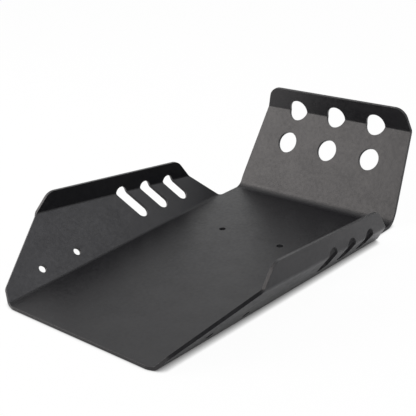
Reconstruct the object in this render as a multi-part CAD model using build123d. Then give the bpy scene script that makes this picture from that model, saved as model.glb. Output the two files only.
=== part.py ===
from build123d import *
from math import acos, atan2, cos, hypot, radians, sin, sqrt, tan
import os

# A skid plate folded from one sheet. +X runs to the upturned front plate, +Z is up, and the origin is
# on the underside, midway between the two belly bolt holes. Sizes are in mm, angles in degrees.
# Places on a panel are taken on its inner surface, from the sharp line where two panels would meet.

# Sheet and bends. A bend keeps the flat sheet's length at a share of its thickness from the inside.
sheet = 3.3
neutral_share = 0.4
side_bend_radius = 5.0
front_bend_radius = 12.0
lip_bend_radius = 3.0

# Floor
rear_reach = 241.6
front_reach = 106.4
rear_half_width = 93.2
side_taper = 2.06
side_inset = 0.2
belly_hole_offset = 38.0
belly_hole_diameter = 7.0

# Wings, measured along the floor bend from the rear edge and up the wing. The front end is measured
# back from the front plate's fold, and the lip fold's front end back from there.
wing_tilt = 47.5
fold_rear_along = 84.5
fold_rear_up = 67.9
wing_front_gap = 34.6
fold_front_back = 22.3
fold_front_up = 35.3
notch_radius = 6.0
wing_hole_diameter = 8.1
wing_hole_up = 15.4
wing_hole_along = 54.9
wing_hole_spacing = 45.9

# Rear corners, cut back from a point on the floor to a point on the wing's slope
rear_cut_inside = 5.5
rear_cut_along = 8.5
rear_cut_up = 14.6
rear_cut_radius = 15.0
rear_slope_radius = 8.0

# Wing lips, and the slots that run across their folds, the foremost a gap short of the fold's end
lip_turn = 43.8
lip_height = 19.7
lip_rear_angle = 50.3
lip_corner_radius = 15.0
slot_width = 13.75
slot_angle = 61.2
slot_gap = 32.85
slot_pitch = 33.4
slot_reach = 30.0
slot_reach_step = 4.4

# Front plate and its lip, and two rows of vents, placed from the lip's fold
front_tilt = 59.6
front_height = 98.5
front_taper = 5.5
front_taper_radius = 60.0
front_lip_turn = 38.3
front_lip_height = 24.5
front_lip_taper = 16.4
front_lip_corner_radius = 14.5
vent_diameter = 23.7
low_vent_drop = 37.1
low_vent_pitch = 54.1
high_vent_rise = 1.1
high_vent_pitch = 50.9

# Longer than any edge, for cutters
far = 600.0

# Sections of a cutter that follows a bend
bend_steps = 12


def folded(frame, turn):
    """The frame of the next panel, turned about the fold line that is this frame's x axis."""
    turned = frame.z_dir * cos(radians(turn)) - frame.y_dir * sin(radians(turn))
    return Plane(origin=frame.origin, x_dir=frame.x_dir, z_dir=turned)


def setback(radius, turn):
    """How far from the sharp fold line a bend starts and ends."""
    return radius * tan(radians(turn / 2))


def squeeze(radius, turn):
    """How much further the flat sheet runs through half a bend than up to the sharp fold line."""
    return radians(turn / 2) * (radius + neutral_share * sheet) - setback(radius, turn)


def eased(level, back, lean_before, lean_after):
    """How far an edge has run along a fold at a level, as its lean changes evenly through the bend."""
    past = level + back
    return lean_before * (past - back) + (lean_after - lean_before) * past**2 / (4 * back)


def bend(frame, radius, turn, start, stop):
    """The bent strip between two panels, over a stretch of the fold line."""
    back = setback(radius, turn)
    outside = radius + sheet
    mid = radians(turn / 2)
    end = radians(turn)

    def at(distance, angle):
        return (distance * sin(angle) - back, radius - distance * cos(angle))

    section = make_face(
        [
            Line(at(radius, 0), at(outside, 0)),
            ThreePointArc(at(outside, 0), at(outside, mid), at(outside, end)),
            Line(at(outside, end), at(radius, end)),
            ThreePointArc(at(radius, end), at(radius, mid), at(radius, 0)),
        ]
    )
    foot = frame.from_local_coords(Vector(start, 0, 0))
    across = Plane(origin=foot, x_dir=frame.y_dir, z_dir=frame.x_dir)
    return extrude(across * section, amount=stop - start)


def bend_cut(frame, radius, turn, span):
    """A cutter through a bend. Span gives the stretch cut away at each level across the fold, and the
    levels run on from one panel to the next without a kink on the inner surface."""
    back = setback(radius, turn)
    axis = frame.origin - frame.y_dir * back + frame.z_dir * radius
    spare = 2 * back - radius * radians(turn)
    faces = []
    for step in range(bend_steps + 1):
        share = step / bend_steps
        angle = radians(turn) * share
        level = radius * angle + spare * (3 - 2 * share) * share**2 - back
        start, stop = span(level)
        out = frame.y_dir * sin(angle) - frame.z_dir * cos(angle)
        inner = axis + out * (radius / 2)
        outer = axis + out * (2 * (radius + sheet))
        corners = [
            inner + frame.x_dir * start,
            inner + frame.x_dir * stop,
            outer + frame.x_dir * stop,
            outer + frame.x_dir * start,
        ]
        faces.append(Face(Wire.make_polygon(corners)))
    return loft(faces)


def panel(frame, sketch):
    """A flat panel, its inner surface on the frame."""
    return extrude(frame * sketch, amount=-sheet)


def through(frame, sketch):
    """A cutter straight through a panel."""
    return extrude(frame * sketch, amount=2 * sheet, both=True)


def above(level):
    """Everything on a panel above a level."""
    return Pos(0, level + far / 2) * Rectangle(2 * far, far)


def below(level):
    """Everything on a panel below a level."""
    return Pos(0, level - far / 2) * Rectangle(2 * far, far)


# Frames of the panels
taper = radians(side_taper)
floor = Plane(origin=(0, 0, sheet), x_dir=(1, 0, 0), z_dir=(0, 0, 1))
side_fold = Plane(
    origin=(-rear_reach, rear_half_width, sheet),
    x_dir=(cos(taper), sin(taper), 0),
    z_dir=(0, 0, 1),
)
wing = folded(side_fold, wing_tilt)
wing_front_along = rear_reach + front_reach - wing_front_gap
fold_front_along = wing_front_along - fold_front_back
fold_angle = atan2(fold_front_up - fold_rear_up, fold_front_along - fold_rear_along)
fold_length = hypot(fold_front_up - fold_rear_up, fold_front_along - fold_rear_along)
lip_fold = Plane(
    origin=wing.from_local_coords(Vector(fold_rear_along, fold_rear_up, 0)),
    x_dir=wing.x_dir * cos(fold_angle) + wing.y_dir * sin(fold_angle),
    z_dir=wing.z_dir,
)
lip = folded(lip_fold, lip_turn)
front_fold = Plane(origin=(front_reach, 0, sheet), x_dir=(0, -1, 0), z_dir=(0, 0, 1))
front = folded(front_fold, front_tilt)
front_lip_fold = Plane(
    origin=front.from_local_coords(Vector(0, front_height, 0)),
    x_dir=front.x_dir,
    z_dir=front.z_dir,
)
front_lip = folded(front_lip_fold, front_lip_turn)

side_back = setback(side_bend_radius, wing_tilt)
front_back = setback(front_bend_radius, front_tilt)
lip_back = setback(lip_bend_radius, lip_turn)
front_lip_back = setback(lip_bend_radius, front_lip_turn)

# The sloping ends of a wing. The front one runs straight on over the lip fold in the flat sheet.
rear_slope = atan2(fold_rear_up - rear_cut_up, fold_rear_along - rear_cut_along)
front_slope = atan2(fold_front_up, wing_front_along - fold_front_along)
rear_run = 1 / tan(rear_slope - fold_angle)
front_run = 1 / tan(front_slope + fold_angle)
lip_rear_run = 1 / tan(radians(lip_rear_angle))

# The cut-back corner leaves the rear edge at a point on the floor.
cut_foot = -rear_cut_inside * tan(taper)
cut_run = (rear_cut_along - cut_foot) / (rear_cut_up + rear_cut_inside)

# In front of the wings the floor's sides run straight, an inset inside the side bends.
wing_spread = wing_front_along * sin(taper)
front_half_width = rear_half_width + wing_spread - side_back * cos(taper) - side_inset

# The notch at the front end is rounded from the slope to the side of the floor, on an arc whose centre
# is a radius away from both lines.
slope_sum = wing_front_along * sin(front_slope) + notch_radius
side_sum = front_half_width - rear_half_width + notch_radius
notch_spread = sin(front_slope - taper)
notch_along = (slope_sum * cos(taper) - side_sum * cos(front_slope)) / notch_spread
notch_up = (side_sum * sin(front_slope) - slope_sum * sin(taper)) / notch_spread


def wing_rear(up):
    """Where the rear end is along the wing, at a height up the wing, below its slope."""
    return rear_cut_along + (up - rear_cut_up) * cut_run


def wing_front(up):
    """Where the front end is along the wing, at a height up the wing."""
    if up > notch_up - notch_radius * cos(front_slope):
        return wing_front_along - up / tan(front_slope)
    return notch_along - sqrt(notch_radius**2 - (notch_up - up) ** 2)


# Floor, widening to where the wings end, then straight to the front bend
def on_floor(along, up):
    """A point of the floor, along the side fold and outwards from it."""
    point = side_fold.from_local_coords(Vector(along, up, 0))
    return (point.X, point.Y)


def notch_at(angle):
    """The point of the notch's arc whose radius leans by an angle from square to the side fold."""
    return on_floor(notch_along - notch_radius * sin(angle), notch_up - notch_radius * cos(angle))


notch_enter = acos((notch_up + side_back) / notch_radius)
front_start = front_reach - front_back
rear_corner = on_floor(wing_rear(-rear_cut_inside), -rear_cut_inside)
rear_bend = on_floor(wing_rear(-side_back), -side_back)
floor_half = make_face(
    [
        Line((-rear_reach, 0), rear_corner),
        Line(rear_corner, rear_bend),
        Line(rear_bend, notch_at(notch_enter)),
        ThreePointArc(notch_at(notch_enter), notch_at((notch_enter + taper) / 2), notch_at(taper)),
        Line(notch_at(taper), (front_start, front_half_width)),
        Line((front_start, front_half_width), (front_start, 0)),
        Line((front_start, 0), (-rear_reach, 0)),
    ]
)
floor_half = fillet(floor_half.vertices().sort_by_distance(rear_corner)[0], rear_cut_radius)
floor_sketch = floor_half + mirror(floor_half, Plane.XZ)
for side in (-1, 1):
    floor_sketch -= Pos(0, side * belly_hole_offset) * Circle(belly_hole_diameter / 2)
body = panel(floor, floor_sketch)

# Front plate with its bend and lip. Its sides run straight through the floor bend, then taper to the lip,
# whose own sides taper more.
side_lean = tan(radians(front_taper))
lip_lean = tan(radians(front_lip_taper))
plate_top = front_height - front_lip_back
taper_foot = front_back + 2 * front_taper_radius * tan(radians(front_taper / 2))
lip_half_width = front_half_width - (front_height - taper_foot) * side_lean


def lip_side(level):
    """Half the width at a level across the lip's fold, within its bend."""
    return lip_half_width - eased(level, front_lip_back, side_lean, lip_lean)


plate_sketch = make_face(
    Polyline(
        (-front_half_width, front_back),
        (front_half_width, front_back),
        (front_half_width, taper_foot),
        (lip_side(-front_lip_back), plate_top),
        (-lip_side(-front_lip_back), plate_top),
        (-front_half_width, taper_foot),
        close=True,
    )
)
for side in (-1, 1):
    vertex = plate_sketch.vertices().sort_by_distance((side * front_half_width, taper_foot))[0]
    plate_sketch = fillet(vertex, front_taper_radius)
lip_top_half = lip_half_width - front_lip_height * lip_lean
front_lip_sketch = make_face(
    Polyline(
        (-lip_side(front_lip_back), front_lip_back),
        (lip_side(front_lip_back), front_lip_back),
        (lip_top_half, front_lip_height),
        (-lip_top_half, front_lip_height),
        close=True,
    )
)
front_lip_sketch = fillet(front_lip_sketch.vertices().group_by(Axis.Y)[-1], front_lip_corner_radius)
front_lip_bend = bend(front_lip_fold, lip_bend_radius, front_lip_turn, -front_half_width, front_half_width)
front_lip_bend -= bend_cut(
    front_lip_fold, lip_bend_radius, front_lip_turn, lambda level: (lip_side(level), far)
)
front_lip_bend -= bend_cut(
    front_lip_fold, lip_bend_radius, front_lip_turn, lambda level: (-far, -lip_side(level))
)
body += bend(front_fold, front_bend_radius, front_tilt, -front_half_width, front_half_width)
body += panel(front, plate_sketch)
body += front_lip_bend
body += panel(front_lip, front_lip_sketch)

# Two rows of vents, the upper one across the lip's fold, where round holes in the flat sheet come out shorter
vent_squeeze = squeeze(lip_bend_radius, front_lip_turn)
for k in (-1, 0, 1):
    low_vent = Pos(k * low_vent_pitch, -low_vent_drop) * Circle(vent_diameter / 2)
    middle = k * high_vent_pitch
    vent = Pos(middle, high_vent_rise) * Circle(vent_diameter / 2)

    def vent_span(level):
        rise = level * (1 + vent_squeeze / front_lip_back) - high_vent_rise
        half = sqrt((vent_diameter / 2) ** 2 - rise**2)
        return (middle - half, middle + half)

    body -= through(front_lip_fold, low_vent)
    body -= through(front_lip_fold, Pos(0, vent_squeeze) * vent - above(-front_lip_back))
    body -= through(front_lip, Pos(0, -vent_squeeze) * vent - below(front_lip_back))
    body -= bend_cut(front_lip_fold, lip_bend_radius, front_lip_turn, vent_span)

# One side: bend, wing, lip bend and lip
fold_rear = wing.to_local_coords(lip_fold.from_local_coords(Vector(-lip_back * rear_run, -lip_back, 0)))
fold_front = wing.to_local_coords(
    lip_fold.from_local_coords(Vector(fold_length + lip_back * front_run, -lip_back, 0))
)
wing_sketch = make_face(
    Polyline(
        (wing_rear(0), 0),
        (rear_cut_along, rear_cut_up),
        (fold_rear.X, fold_rear.Y),
        (fold_front.X, fold_front.Y),
        (wing_front_along, 0),
        close=True,
    )
)
slope_foot = wing_sketch.vertices().sort_by_distance((rear_cut_along, rear_cut_up))[0]
wing_sketch = fillet(slope_foot, rear_slope_radius) - below(side_back)
for k in (0, 1):
    along = wing_hole_along + k * wing_hole_spacing
    wing_sketch -= Pos(along, wing_hole_up) * Circle(wing_hole_diameter / 2)

side_bend = bend(side_fold, side_bend_radius, wing_tilt, -lip_height, notch_along + lip_height)
side_bend -= bend_cut(side_fold, side_bend_radius, wing_tilt, lambda level: (-far, wing_rear(level)))
side_bend -= bend_cut(side_fold, side_bend_radius, wing_tilt, lambda level: (wing_front(level), far))

lip_sketch = make_face(
    Polyline(
        (lip_rear_run * lip_back, lip_back),
        (fold_length - front_run * lip_back, lip_back),
        (fold_length - front_run * lip_height, lip_height),
        (lip_rear_run * lip_height, lip_height),
        close=True,
    )
)
lip_sketch = fillet(lip_sketch.vertices().group_by(Axis.Y)[-1], lip_corner_radius)
lip_bend = bend(lip_fold, lip_bend_radius, lip_turn, -lip_height, fold_length + lip_height)
lip_bend -= bend_cut(
    lip_fold, lip_bend_radius, lip_turn, lambda level: (-far, eased(level, lip_back, rear_run, lip_rear_run))
)
lip_bend -= bend_cut(
    lip_fold, lip_bend_radius, lip_turn, lambda level: (fold_length - front_run * level, far)
)

side_part = panel(wing, wing_sketch)
side_part += side_bend
side_part += lip_bend
side_part += panel(lip, lip_sketch)

# Slots across the lip fold, each with its upper end centred on the fold in the flat sheet
slot_squeeze = squeeze(lip_bend_radius, lip_turn)
lean = radians(slot_angle)
slot_half = slot_width / 2
for k in range(3):
    top = fold_length - slot_gap - (2 - k) * slot_pitch
    reach = slot_reach - k * slot_reach_step
    centre = Pos(top + cos(lean) * reach / 2, -sin(lean) * reach / 2)
    slot = centre * Rot(0, 0, -slot_angle) * SlotCenterToCenter(reach, slot_width)

    def slot_span(level):
        rise = level * (1 + slot_squeeze / lip_back)
        wall = top - rise / tan(lean)
        low = wall - slot_half / sin(lean)
        high = wall + slot_half / sin(lean)
        if rise > -slot_half * cos(lean):
            low = top - sqrt(slot_half**2 - rise**2)
        if rise > slot_half * cos(lean):
            high = top + sqrt(slot_half**2 - rise**2)
        return (low, high)

    side_part -= through(lip_fold, Pos(0, slot_squeeze) * slot - above(-lip_back))
    side_part -= through(lip, Pos(0, -slot_squeeze) * slot - below(lip_back))
    side_part -= bend_cut(lip_fold, lip_bend_radius, lip_turn, slot_span)

body += side_part
body += mirror(side_part, Plane.XZ)

os.makedirs("parts", exist_ok=True)
export_step(body, "parts/sheet.step")
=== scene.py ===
import bpy
from math import radians
from mathutils import Matrix, Vector


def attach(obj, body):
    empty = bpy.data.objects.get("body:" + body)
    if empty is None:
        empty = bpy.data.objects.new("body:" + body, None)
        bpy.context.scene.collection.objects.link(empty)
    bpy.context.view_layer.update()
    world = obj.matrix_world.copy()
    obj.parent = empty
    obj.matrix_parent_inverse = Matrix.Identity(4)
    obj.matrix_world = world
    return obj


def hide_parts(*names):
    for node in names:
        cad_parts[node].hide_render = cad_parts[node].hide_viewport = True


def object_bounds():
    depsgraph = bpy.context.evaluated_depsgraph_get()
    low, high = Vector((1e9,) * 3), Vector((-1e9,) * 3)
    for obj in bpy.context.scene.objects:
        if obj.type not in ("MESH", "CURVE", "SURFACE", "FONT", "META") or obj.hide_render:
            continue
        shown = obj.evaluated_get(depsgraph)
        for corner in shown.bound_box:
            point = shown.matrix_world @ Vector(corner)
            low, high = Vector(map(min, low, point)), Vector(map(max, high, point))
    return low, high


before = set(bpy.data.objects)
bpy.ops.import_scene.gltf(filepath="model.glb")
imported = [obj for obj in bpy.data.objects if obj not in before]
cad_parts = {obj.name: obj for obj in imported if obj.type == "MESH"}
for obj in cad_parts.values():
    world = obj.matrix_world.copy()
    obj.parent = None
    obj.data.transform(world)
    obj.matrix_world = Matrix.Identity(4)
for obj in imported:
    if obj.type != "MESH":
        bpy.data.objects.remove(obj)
cad_low, cad_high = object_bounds()

# Lengths are in metres, in the part's frame.

# Camera
CAMERA_PLACE = Vector((-0.69878, -0.58763, 0.42004))
CAMERA_RIGHT = Vector((0.662067, -0.746821, -0.062652))
CAMERA_DOWN = Vector((-0.326592, -0.212263, -0.921022))
CAMERA_FORWARD = Vector((0.674540, 0.630240, -0.384438))
CAMERA_CLIP = (0.01, 50)
PICTURE = 416
FOCAL_PIXELS = 972.06
AXIS_PIXEL = (202.04, 207.24)
SENSOR = 36.0

# Sky. A white backdrop stands behind the part, and the room above the camera is darker. Each pair is
# a height, from 0 at the horizon to 1 straight up, and how bright it is there. Across the edge, the
# room gives way to the backdrop.
SKY_SEEN = 1.0
SKY_LIGHT = 0.80
BACKDROP_SIDE = (0.8, 0.45, 0.0)
BACKDROP_EDGE = (0.0, 0.35)
BACKDROP_BY_HEIGHT = (
    (0.12, 1.0),
    (0.28, 0.88),
    (0.40, 0.79),
    (0.47, 0.82),
    (0.56, 1.0),
    (0.66, 1.0),
    (0.73, 0.42),
    (0.9, 0.35),
)
ROOM_BY_HEIGHT = ((0.36, 0.95), (0.48, 0.65), (0.60, 0.35), (0.75, 0.10))

# Softboxes: name, place, aim, side, watts and tint
SOFTBOXES = (
    ("rear_left_softbox", (-0.84, 0.92, 0.74), (0.12, 0, 0.05), 1.2, 16.8, (1.0, 0.945, 0.92)),
    ("top_left_softbox", (-0.15, 0.775, 0.98), (0.1, 0, 0.03), 0.76, 2.6, (1.0, 0.97, 0.96)),
    ("top_right_softbox", (0.30, -0.45, 1.05), (-0.1, 0.05, 0.03), 1.0, 5.1, (0.95, 0.945, 1.0)),
)

# Table paper. A share of its look is plain white, a smaller share where it is mirrored. Next to the
# part, where less than the open share of its surroundings is free, that white is darker: a painted
# contact shadow.
TABLE_SIDE = 12
TABLE_GAP = 0.0002
PAPER_WHITE = (0.93, 0.93, 0.93, 1)
PAPER_ROUGH = 0.6
PAPER_SHINE = 0.1
WHITE_SHARE = 0.97
WHITE_SHARE_MIRRORED = 0.17
CONTACT_REACH = 0.008
CONTACT_SAMPLES = 16
CONTACT_OPEN = 0.78
CONTACT_OPEN_MIRRORED = 0.6

# Cut edges of the sheet, rounded over by the coat
RIM_ROUND = 0.0002
RIM_STEPS = 3
RIM_ANGLE = radians(50)
RIM_SLOT = 1
SAME_POINT = 1e-6
FLAT_ANGLE = radians(0.2)
SQUARE_MM = 1e6

# Powder coat. A noise is a scale and a number of finer layers, and its spread is the range of its
# values that counts as from none to all.
COAT_DARK = (0.0048, 0.0048, 0.0060, 1)
COAT_LIGHT = (0.0070, 0.0070, 0.0086, 1)
# Rim colour: partly worn coat, partly a painted highlight on the cut edges.
COAT_WORN_AND_HIGHLIT = (0.018, 0.018, 0.020, 1)
COAT_ROUGH = (0.32, 0.43)
COAT_ROUGH_DRIFT = 0.03
COAT_IOR = 1.45
GRAIN_NOISE = (1400, 3)
GRAIN_STRENGTH = 0.16
GRAIN_DEPTH = 0.0003
CLOUD_NOISE = (260, 4)
DRIFT_NOISE = (38, 2)
NOISE_SPREAD = (0.3, 0.7)
RUB_NOISE = (90, 3)
RUB_SPREAD = (0.35, 0.65)
RUB_SHARE = (0.3, 1.0)


def feed(links, socket, value):
    """Give a socket a plain value or another node's output."""
    if isinstance(value, bpy.types.NodeSocket):
        links.new(value, socket)
    else:
        socket.default_value = value


def mapped(nodes, links, value, spread, result):
    """A value stretched from one range to another."""
    stretch = nodes.new("ShaderNodeMapRange")
    feed(links, stretch.inputs["Value"], value)
    feed(links, stretch.inputs["From Min"], spread[0])
    feed(links, stretch.inputs["From Max"], spread[1])
    feed(links, stretch.inputs["To Min"], result[0])
    feed(links, stretch.inputs["To Max"], result[1])
    return stretch.outputs["Result"]


def worked_out(nodes, links, operation, first, second):
    """Two values put together by plain arithmetic."""
    step = nodes.new("ShaderNodeMath")
    step.operation = operation
    feed(links, step.inputs[0], first)
    feed(links, step.inputs[1], second)
    return step.outputs[0]


def mixed(nodes, links, share, first, second):
    """A colour between two, by a share."""
    blend = nodes.new("ShaderNodeMix")
    blend.data_type = "RGBA"
    feed(links, blend.inputs["Factor"], share)
    for name, colour in (("A", first), ("B", second)):
        socket = [s for s in blend.inputs if s.name == name and s.type == "RGBA"][0]
        feed(links, socket, colour)
    return [s for s in blend.outputs if s.type == "RGBA"][0]


def noise(nodes, links, place, look):
    """Even noise through the part's own space."""
    texture = nodes.new("ShaderNodeTexNoise")
    texture.inputs["Scale"].default_value = look[0]
    texture.inputs["Detail"].default_value = look[1]
    links.new(place.outputs["Object"], texture.inputs["Vector"])
    return texture.outputs["Fac"]


def by_height(nodes, links, height, pairs):
    """A brightness that goes by the height of a direction."""
    ramp = nodes.new("ShaderNodeValToRGB")
    stops = ramp.color_ramp.elements
    while len(stops) < len(pairs):
        stops.new(1.0)
    for stop, (place, bright) in zip(stops, pairs):
        stop.position = place
        stop.color = (bright, bright, bright, 1)
    links.new(height, ramp.inputs["Fac"])
    return ramp.outputs["Color"]


def seen_directly(nodes, links):
    """1 for a ray from the eye, a reflection or a see-through, 0 for light passed between things."""
    path = nodes.new("ShaderNodeLightPath").outputs
    either = worked_out(nodes, links, "MAXIMUM", path["Is Camera Ray"], path["Is Glossy Ray"])
    return worked_out(nodes, links, "MAXIMUM", either, path["Is Transmission Ray"])


def make_camera():
    data = bpy.data.cameras.new("camera")
    data.sensor_width = SENSOR
    data.lens = FOCAL_PIXELS / PICTURE * SENSOR
    data.shift_x = 0.5 - AXIS_PIXEL[0] / PICTURE
    data.shift_y = AXIS_PIXEL[1] / PICTURE - 0.5
    data.clip_start, data.clip_end = CAMERA_CLIP
    camera = bpy.data.objects.new("camera", data)
    bpy.context.scene.collection.objects.link(camera)
    turn = Matrix((CAMERA_RIGHT, -CAMERA_DOWN, -CAMERA_FORWARD)).transposed()
    camera.matrix_world = Matrix.Translation(CAMERA_PLACE) @ turn.to_4x4()
    bpy.context.scene.camera = camera


def make_sky():
    """The backdrop and the room, at one level where they are seen and at another as light."""
    world = bpy.data.worlds.new("studio_sky")
    world.use_nodes = True
    bpy.context.scene.world = world
    nodes = world.node_tree.nodes
    links = world.node_tree.links
    nodes.clear()
    towards = nodes.new("ShaderNodeTexCoord").outputs["Generated"]
    axes = nodes.new("ShaderNodeSeparateXYZ")
    links.new(towards, axes.inputs["Vector"])
    facing = nodes.new("ShaderNodeVectorMath")
    facing.operation = "DOT_PRODUCT"
    facing.inputs[1].default_value = BACKDROP_SIDE
    links.new(towards, facing.inputs[0])
    backed = mapped(nodes, links, facing.outputs["Value"], BACKDROP_EDGE, (0, 1))
    backed.node.interpolation_type = "SMOOTHSTEP"
    room = by_height(nodes, links, axes.outputs["Z"], ROOM_BY_HEIGHT)
    backdrop = by_height(nodes, links, axes.outputs["Z"], BACKDROP_BY_HEIGHT)
    level = mapped(nodes, links, seen_directly(nodes, links), (0, 1), (SKY_LIGHT, SKY_SEEN))
    sky = nodes.new("ShaderNodeBackground")
    links.new(mixed(nodes, links, backed, room, backdrop), sky.inputs["Color"])
    links.new(level, sky.inputs["Strength"])
    out = nodes.new("ShaderNodeOutputWorld")
    links.new(sky.outputs["Background"], out.inputs["Surface"])


def make_softbox(name, place, aim, side, watts, tint):
    data = bpy.data.lights.new(name, "AREA")
    data.shape = "SQUARE"
    data.size = side
    data.energy = watts
    data.color = tint
    lamp = bpy.data.objects.new(name, data)
    bpy.context.scene.collection.objects.link(lamp)
    lamp.location = place
    lamp.rotation_mode = "QUATERNION"
    lamp.rotation_quaternion = (Vector(aim) - Vector(place)).to_track_quat("-Z", "Y")


def table_paper():
    """White paper, darkened by a painted contact shadow where the part meets it."""
    material = bpy.data.materials.new("white_table_paper")
    material.use_nodes = True
    material.cycles.emission_sampling = "NONE"
    nodes = material.node_tree.nodes
    links = material.node_tree.links
    paper = nodes["Principled BSDF"]
    paper.inputs["Base Color"].default_value = PAPER_WHITE
    paper.inputs["Roughness"].default_value = PAPER_ROUGH
    paper.inputs["Specular IOR Level"].default_value = PAPER_SHINE
    # Painted contact shadow: the less open the paper is near the part, the weaker its white glow.
    contact_shadow = nodes.new("ShaderNodeAmbientOcclusion")
    contact_shadow.samples = CONTACT_SAMPLES
    contact_shadow.inputs["Distance"].default_value = CONTACT_REACH
    by_eye = nodes.new("ShaderNodeLightPath").outputs["Is Camera Ray"]
    open_at = mapped(nodes, links, by_eye, (0, 1), (CONTACT_OPEN_MIRRORED, CONTACT_OPEN))
    white = nodes.new("ShaderNodeEmission")
    shade = mapped(nodes, links, contact_shadow.outputs["AO"], (0, open_at), (0, 1))
    links.new(shade, white.inputs["Strength"])
    share = mapped(nodes, links, by_eye, (0, 1), (WHITE_SHARE_MIRRORED, WHITE_SHARE))
    mix = nodes.new("ShaderNodeMixShader")
    seen = worked_out(nodes, links, "MULTIPLY", share, seen_directly(nodes, links))
    links.new(seen, mix.inputs["Fac"])
    links.new(paper.outputs["BSDF"], mix.inputs[1])
    links.new(white.outputs["Emission"], mix.inputs[2])
    links.new(mix.outputs["Shader"], nodes["Material Output"].inputs["Surface"])
    return material


def make_table():
    bpy.ops.object.select_all(action="DESELECT")
    bpy.ops.mesh.primitive_plane_add(size=TABLE_SIDE, location=(0, 0, -TABLE_GAP))
    table = bpy.context.object
    table.name = "table_top"
    bpy.ops.object.transform_apply(location=True, rotation=False, scale=False)
    table.data.materials.append(table_paper())


def powder_coat():
    """Satin black powder: fine grain, clouds of more and less gloss, and rims a little lighter grey,
    partly worn coat and partly a painted highlight.
    """
    material = bpy.data.materials.new("black_powder_coat")
    material.use_nodes = True
    nodes = material.node_tree.nodes
    links = material.node_tree.links
    shader = nodes["Principled BSDF"]
    shader.inputs["IOR"].default_value = COAT_IOR
    place = nodes.new("ShaderNodeTexCoord")
    grain = noise(nodes, links, place, GRAIN_NOISE)
    cloud = noise(nodes, links, place, CLOUD_NOISE)
    drift = noise(nodes, links, place, DRIFT_NOISE)
    rub = noise(nodes, links, place, RUB_NOISE)
    rim = nodes.new("ShaderNodeAttribute")
    rim.attribute_name = "rim"
    patchy = mapped(nodes, links, rub, RUB_SPREAD, RUB_SHARE)
    # Rims lighter in patches: worn coat and painted highlight.
    rubbed_and_highlit = worked_out(nodes, links, "MULTIPLY", rim.outputs["Fac"], patchy)
    light = mapped(nodes, links, cloud, NOISE_SPREAD, (0, 1))
    film = mixed(nodes, links, light, COAT_DARK, COAT_LIGHT)
    links.new(mixed(nodes, links, rubbed_and_highlit, film, COAT_WORN_AND_HIGHLIT), shader.inputs["Base Color"])
    fine = mapped(nodes, links, cloud, NOISE_SPREAD, COAT_ROUGH)
    broad = mapped(nodes, links, drift, NOISE_SPREAD, (-COAT_ROUGH_DRIFT, COAT_ROUGH_DRIFT))
    links.new(worked_out(nodes, links, "ADD", fine, broad), shader.inputs["Roughness"])
    bump = nodes.new("ShaderNodeBump")
    bump.inputs["Strength"].default_value = GRAIN_STRENGTH
    bump.inputs["Distance"].default_value = GRAIN_DEPTH
    links.new(grain, bump.inputs["Height"])
    links.new(bump.outputs["Normal"], shader.inputs["Normal"])
    return material


def settle_shading(mesh):
    """A large face decides the shading at its corners, so panels stay flat and only folds and rims
    look round."""
    sums = [Vector((0, 0, 0)) for point in mesh.vertices]
    for face in mesh.polygons:
        for point in face.vertices:
            sums[point] += face.normal * (face.area * SQUARE_MM) ** 2
    mesh.normals_split_custom_set_from_vertices([total.normalized() for total in sums])


def mark_rims(mesh):
    """The rims' faces, which the rounding put in a second material slot, keep a mark and go back to
    the first."""
    marks = mesh.attributes.new("rim", "FLOAT", "FACE")
    for face, mark in zip(mesh.polygons, marks.data):
        mark.value = face.material_index
        face.material_index = 0
    mesh.materials.pop(index=RIM_SLOT)


def folded_sheet(node):
    """The folded sheet with the rims of its cut edges rounded over."""
    bpy.ops.object.select_all(action="DESELECT")
    plate = bpy.data.objects.new("skid_plate", node.data.copy())
    bpy.context.scene.collection.objects.link(plate)
    bpy.context.view_layer.objects.active = plate
    plate.select_set(True)
    coat = powder_coat()
    plate.data.materials.clear()
    plate.data.materials.append(coat)
    plate.data.materials.append(coat)
    bpy.ops.object.mode_set(mode="EDIT")
    bpy.ops.mesh.select_all(action="SELECT")
    bpy.ops.mesh.remove_doubles(threshold=SAME_POINT)
    bpy.ops.mesh.customdata_custom_splitnormals_clear()
    bpy.ops.mesh.dissolve_limited(angle_limit=FLAT_ANGLE)
    bpy.ops.object.mode_set(mode="OBJECT")
    rim = plate.modifiers.new("rim_round", "BEVEL")
    rim.width = RIM_ROUND
    rim.segments = RIM_STEPS
    rim.limit_method = "ANGLE"
    rim.angle_limit = RIM_ANGLE
    rim.use_clamp_overlap = False
    rim.loop_slide = False
    rim.material = RIM_SLOT
    bpy.ops.object.modifier_apply(modifier=rim.name)
    bpy.ops.object.shade_smooth()
    for point in plate.data.vertices:
        point.co.z = max(point.co.z, cad_low[2])
    mark_rims(plate.data)
    settle_shading(plate.data)
    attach(plate, "root")
    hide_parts("sheet")


make_camera()
make_sky()
make_table()
for softbox in SOFTBOXES:
    make_softbox(*softbox)

folded_sheet(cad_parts["sheet"])

bpy.context.scene.view_settings.view_transform = "Standard"
